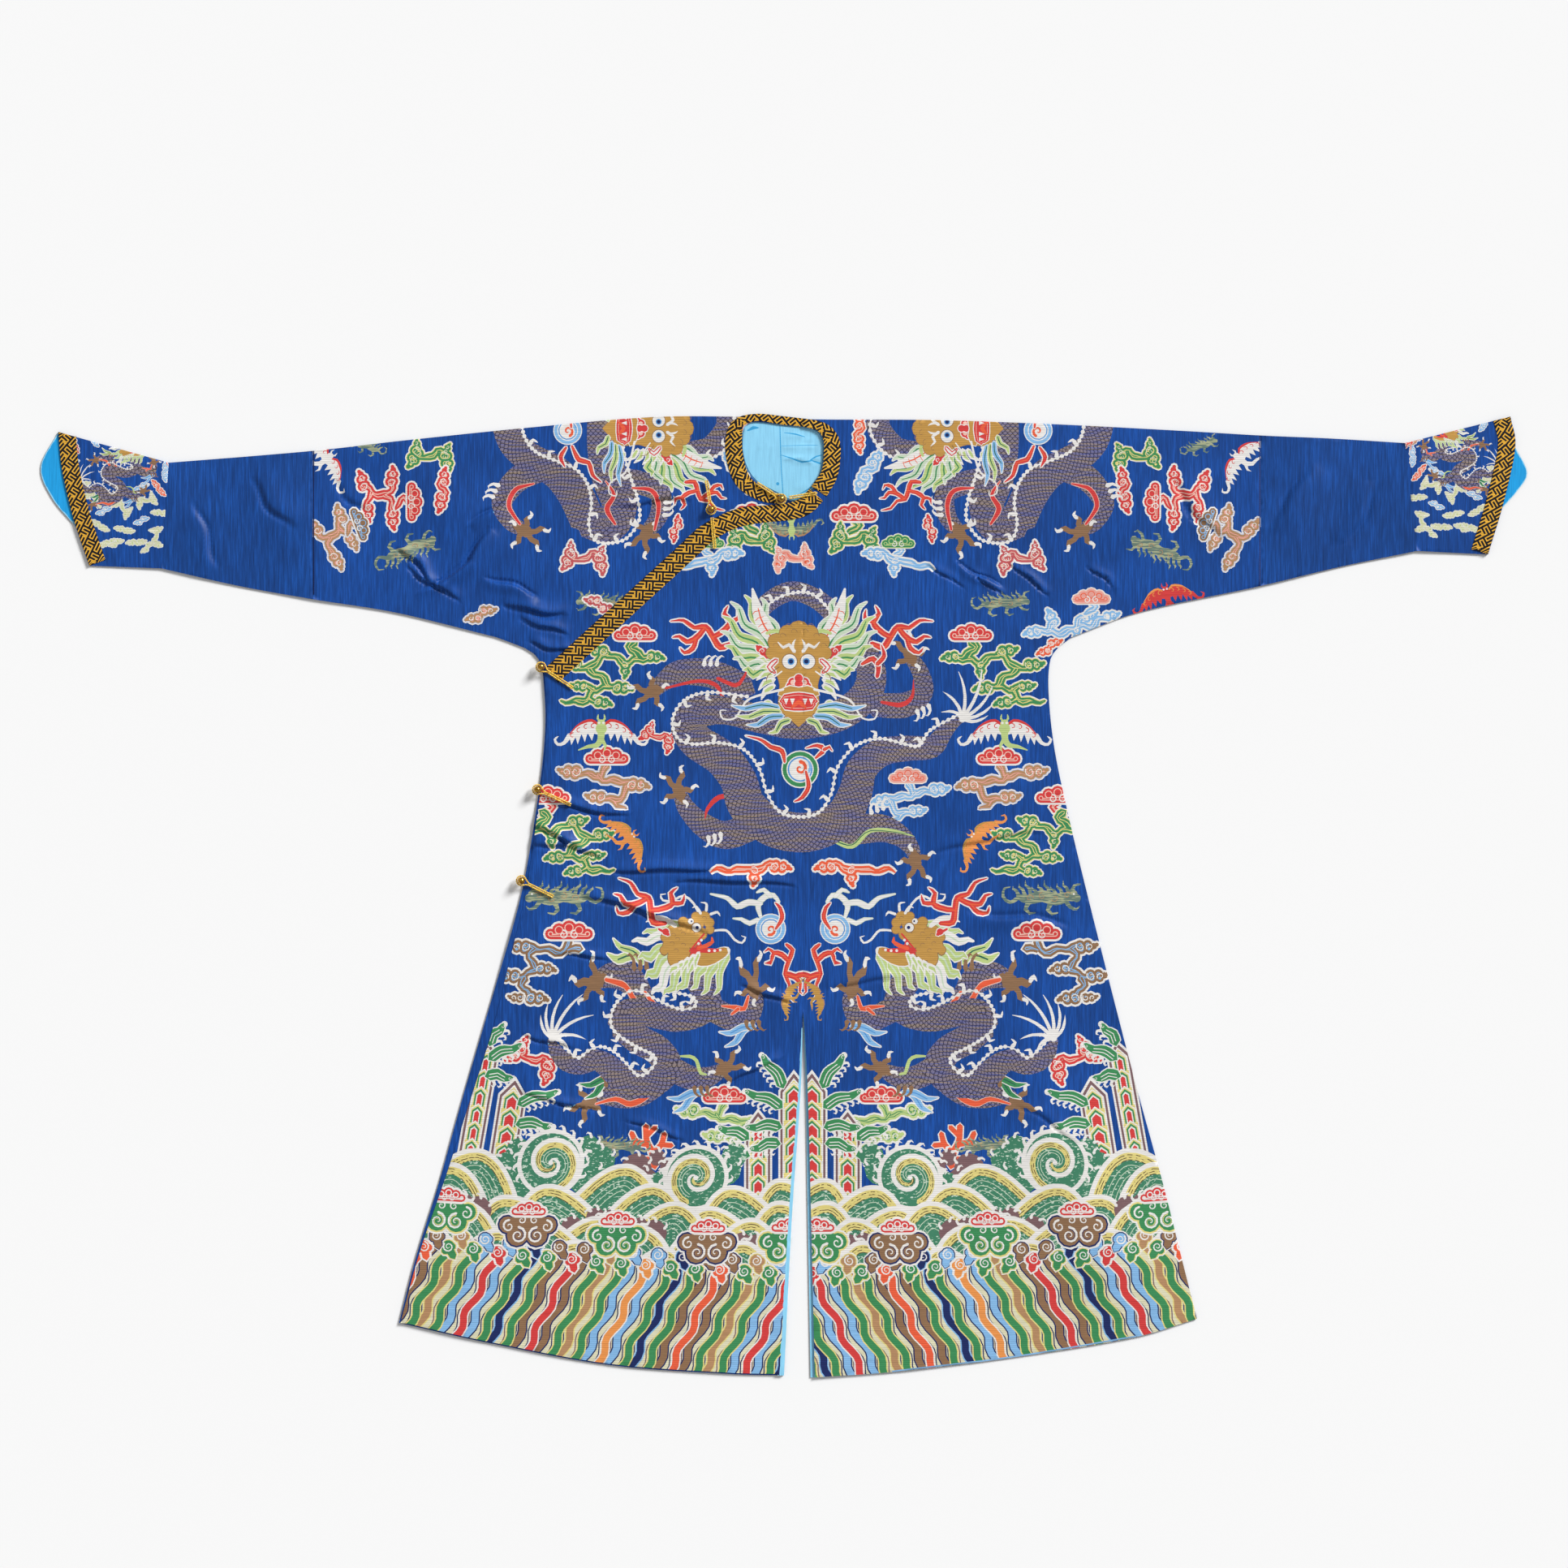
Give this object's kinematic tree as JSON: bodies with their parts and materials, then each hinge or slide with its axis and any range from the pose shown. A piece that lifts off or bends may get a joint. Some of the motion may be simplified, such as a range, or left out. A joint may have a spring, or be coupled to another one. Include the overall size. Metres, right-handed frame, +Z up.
{
  "type": "chinese dragon robe",
  "caption": "Blue silk dragon robe laid flat, front overlap fastened to the side, horse-hoof cuffs, ball buttons and a wave border at the hem.",
  "frame": {"origin": "on the surface the robe lies on, under the middle of its box", "axes": "+X towards the wearer's left cuff, +Y towards the neck, +Z up from the surface, out of the front"},
  "size_m": [2.124, 1.377, 0.0177],
  "materials": {
    "dragon_brocade": "blue silk satin brocaded with coloured silks and gold thread",
    "plain_blue_silk": "plain blue silk with fine lengthwise ribs",
    "gold_fret_trim": "black band woven with a gold key fret",
    "sky_blue_lining": "thin sky blue silk",
    "gold_cord": "twisted gold silk cord with dark flecks",
    "gilt_brass": "polished gilt ball"
  },
  "bodies": {
    "root": {"body_left": "dragon_brocade", "body_right": "dragon_brocade", "button_armpit": "gilt_brass", "button_collarbone": "gilt_brass", "button_neck": "gilt_brass", "button_side_lower": "gilt_brass", "button_side_upper": "gilt_brass", "cuff_left": "dragon_brocade", "cuff_right": "dragon_brocade", "cuff_trim_left": "gold_fret_trim", "cuff_trim_right": "gold_fret_trim", "lining_cuff_left": "sky_blue_lining", "lining_cuff_right": "sky_blue_lining", "lining_neck": "sky_blue_lining", "lining_vent_left": "sky_blue_lining", "lining_vent_right": "sky_blue_lining", "loop_armpit": "gold_cord", "loop_collarbone": "gold_cord", "loop_neck": "gold_cord", "loop_side_lower": "gold_cord", "loop_side_upper": "gold_cord", "neck_trim": "gold_fret_trim", "overlap_front": "dragon_brocade", "overlap_trim": "gold_fret_trim", "sleeve_left": "plain_blue_silk", "sleeve_right": "plain_blue_silk", "strap_collarbone": "gold_cord", "strap_neck": "gold_cord"}
  },
  "joints": []
}
